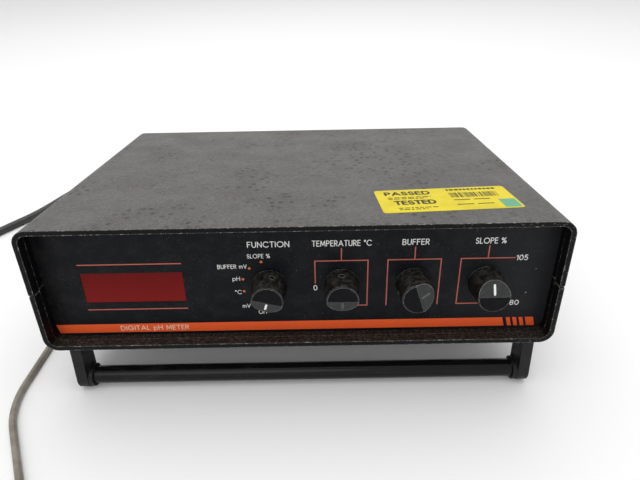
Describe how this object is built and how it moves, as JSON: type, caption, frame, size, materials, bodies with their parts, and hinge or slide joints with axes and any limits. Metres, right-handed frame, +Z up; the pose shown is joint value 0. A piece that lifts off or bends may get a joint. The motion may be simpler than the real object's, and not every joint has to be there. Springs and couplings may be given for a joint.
{
  "type": "bench ph meter",
  "caption": "Bench pH meter with a sheet steel sleeve case, recessed front panel, red display window, rotary controls and a folding front stand that tilts it back.",
  "frame": {"origin": "the middle of the case's flat underside; the bench top is 22.9 mm below it", "axes": "+Z up from a level bench, +X to the right as seen from the front, +Y to the rear; the case leans back 5.1 degrees on its open stand, so its panel faces -Y and slightly up"},
  "size_m": [0.4328, 0.3868, 0.1042],
  "materials": {
    "sleeve_paint": "pebbled dark grey-black stove enamel, rubbed bright on the folded edges",
    "panel_paint": "satin black enamel on aluminium, silk-screened",
    "rear_paint": "satin black enamel on aluminium",
    "red_acrylic": "deep red transparent acrylic filter",
    "knob_plastic": "satin black moulded plastic, greyed with wear",
    "stand_plastic": "satin black moulded plastic",
    "stand_enamel": "gloss black enamelled steel",
    "zinc_steel": "zinc-plated steel",
    "nickel_brass": "nickel-plated brass",
    "bare_aluminium": "bare mill-finish aluminium",
    "feet_rubber": "black rubber",
    "black_moulding": "moulded plastic",
    "circuit_board": "green fibreglass laminate",
    "resistor_lacquer": "buff lacquer",
    "fuse_glass": "clear glass tube with plated ends",
    "core_steel": "varnished laminated steel",
    "coil_tape": "yellow tape over copper wire",
    "cord_pvc": "black PVC sheath",
    "lead_pvc": "warm grey PVC sheath",
    "boot_pvc": "black PVC",
    "label_film": "yellow printed vinyl"
  },
  "bodies": {
    "case": {"board_screws": "zinc_steel", "board_spacers": "nickel_brass", "bottom_cover": "sleeve_paint", "circuit_chips": "black_moulding", "control_end_caps": "black_moulding", "control_nuts": "nickel_brass", "control_washers": "zinc_steel", "cord_bush": "cord_pvc", "cover_pillars": "zinc_steel", "cover_screws": "zinc_steel", "display_board": "circuit_board", "display_digits": "black_moulding", "display_window": "red_acrylic", "feet": "feet_rubber", "front_panel": "panel_paint", "function_switch": "bare_aluminium", "fuse": "fuse_glass", "fuse_cap": "black_moulding", "fuse_holder": "black_moulding", "inspection_label": "label_film", "main_board": "circuit_board", "mains_cord": "cord_pvc", "panel_nuts": "zinc_steel", "plug_boot": "boot_pvc", "potentiometers": "bare_aluminium", "probe_lead": "lead_pvc", "probe_plug": "nickel_brass", "probe_socket": "nickel_brass", "rear_panel": "rear_paint", "rear_panel_screws": "zinc_steel", "regulator_heatsink": "bare_aluminium", "resistors": "resistor_lacquer", "side_rails": "bare_aluminium", "smoothing_capacitors": "black_moulding", "socket_collars": "black_moulding", "socket_nuts": "nickel_brass", "socket_tubes": "nickel_brass", "stand_ears": "sleeve_paint", "top_cover": "sleeve_paint", "transformer_coil": "coil_tape", "transformer_core": "core_steel", "transformer_screws": "zinc_steel", "trimmers": "black_moulding", "voltage_regulator": "black_moulding"},
    "function_control": {"function_knob": "knob_plastic", "function_grub_screw": "zinc_steel", "function_shaft": "nickel_brass"},
    "temperature_control": {"temperature_knob": "knob_plastic", "temperature_grub_screw": "zinc_steel", "temperature_shaft": "nickel_brass"},
    "buffer_control": {"buffer_knob": "knob_plastic", "buffer_grub_screw": "zinc_steel", "buffer_shaft": "nickel_brass"},
    "slope_control": {"slope_knob": "knob_plastic", "slope_grub_screw": "zinc_steel", "slope_shaft": "nickel_brass"},
    "stand": {"stand_left_arm": "stand_plastic", "stand_right_arm": "stand_plastic", "stand_tube": "stand_enamel", "stand_pins": "stand_enamel"}
  },
  "joints": [
    {"name": "function_turn", "type": "hinge", "parent": "case", "child": "function_control", "pos_m": [-0.015, -0.08172, 0.04052], "axis": [0, 0.996, -0.0889], "range_deg": [0, 150]},
    {"name": "temperature_turn", "type": "hinge", "parent": "case", "child": "temperature_control", "pos_m": [0.024, -0.08172, 0.04052], "axis": [0, 0.996, -0.0889], "range_deg": [-285, 15]},
    {"name": "buffer_turn", "type": "hinge", "parent": "case", "child": "buffer_control", "pos_m": [0.063, -0.08172, 0.04052], "axis": [0, 0.996, -0.0889], "range_deg": [-222, 78]},
    {"name": "slope_turn", "type": "hinge", "parent": "case", "child": "slope_control", "pos_m": [0.102, -0.08172, 0.04052], "axis": [0, 0.996, -0.0889], "range_deg": [-240, 60]},
    {"name": "stand_fold", "type": "hinge", "parent": "case", "child": "stand", "pos_m": [0, -0.08773, 0.0013], "axis": [1, 0, 0], "range_deg": [0, 90]}
  ]
}
